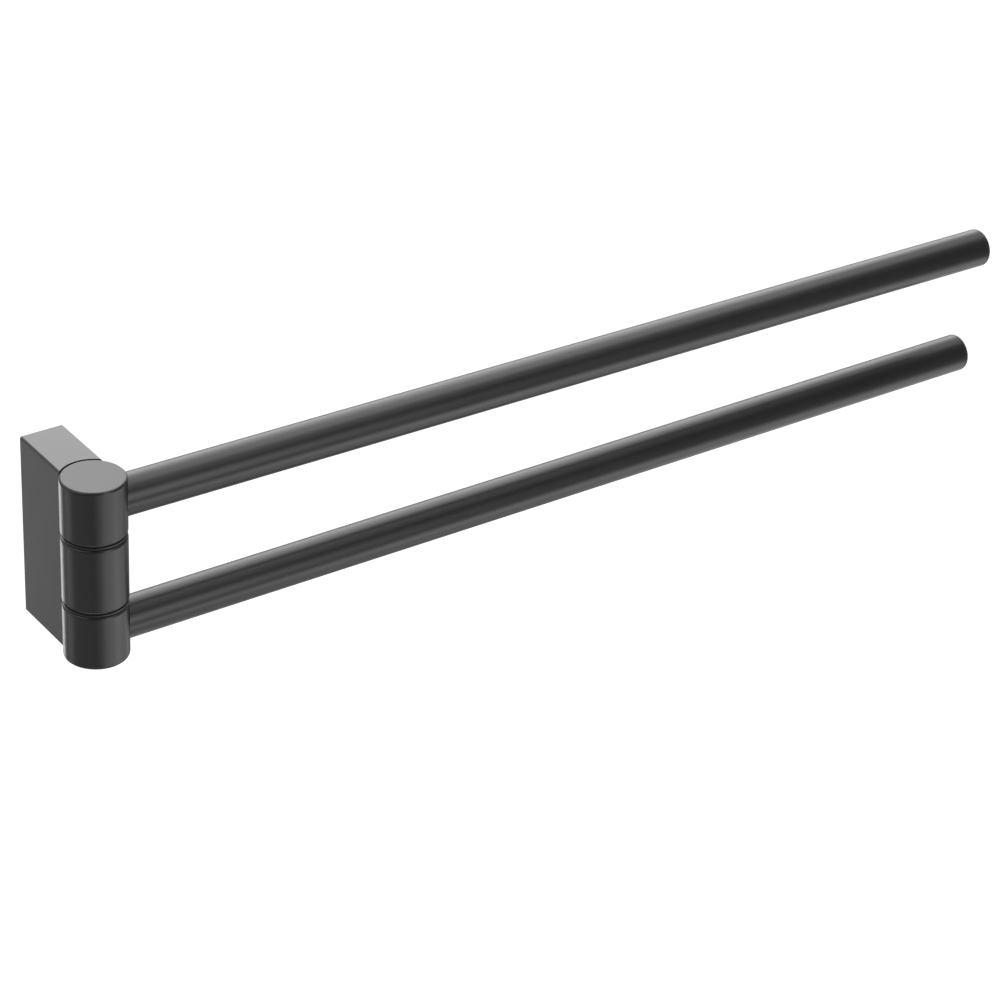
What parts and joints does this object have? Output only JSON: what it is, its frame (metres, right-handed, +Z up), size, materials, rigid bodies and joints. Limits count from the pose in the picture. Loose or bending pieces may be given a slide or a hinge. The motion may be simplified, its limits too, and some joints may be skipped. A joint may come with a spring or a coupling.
{
  "type": "swing arm towel bar",
  "caption": "Wall-mounted swing arm towel bar: round arms turn separately about a vertical hinge barrel that is carried by a narrow wall block.",
  "frame": {"origin": "centre of the block's wall face, midway between the two wall screw holes", "axes": "+X along the arms from the hinge to their free ends, +Y into the wall, +Z up along the hinge axis"},
  "size_m": [0.4406, 0.0518, 0.076],
  "materials": {
    "coated_metal": "satin anthracite coating over cast and tubular metal",
    "plated_steel": "bright zinc plating",
    "stainless_steel": "turned stainless steel",
    "blackened_steel": "black oxide",
    "black_acetal": "machined acetal",
    "black_rubber": "moulded rubber"
  },
  "bodies": {
    "base": {"wall_plate": "plated_steel", "block_housing": "coated_metal", "lock_screw": "blackened_steel", "hub_bolts": "stainless_steel", "hub_bolt_washers": "plated_steel", "middle_hub": "coated_metal", "pivot_axle": "stainless_steel", "upper_friction_ring": "black_rubber", "lower_friction_ring": "black_rubber", "upper_thrust_washer": "coated_metal", "lower_thrust_washer": "coated_metal"},
    "upper_arm": {"upper_hub": "coated_metal", "upper_bush": "black_acetal", "upper_retaining_screw": "blackened_steel", "upper_spigot": "plated_steel", "upper_arm_tube": "coated_metal", "upper_arm_screw": "blackened_steel", "upper_end_cap": "coated_metal"},
    "lower_arm": {"lower_hub": "coated_metal", "lower_bush": "black_acetal", "lower_retaining_screw": "blackened_steel", "lower_spigot": "plated_steel", "lower_arm_tube": "coated_metal", "lower_arm_screw": "blackened_steel", "lower_end_cap": "coated_metal"}
  },
  "joints": [
    {"name": "upper_arm_swing", "type": "hinge", "parent": "base", "child": "upper_arm", "pos_m": [0, -0.039, 0.0266], "axis": [0, 0, -1], "range_deg": [-0.65, 179.35]},
    {"name": "lower_arm_swing", "type": "hinge", "parent": "base", "child": "lower_arm", "pos_m": [0, -0.039, -0.0266], "axis": [0, 0, -1], "range_deg": [0, 180]}
  ]
}
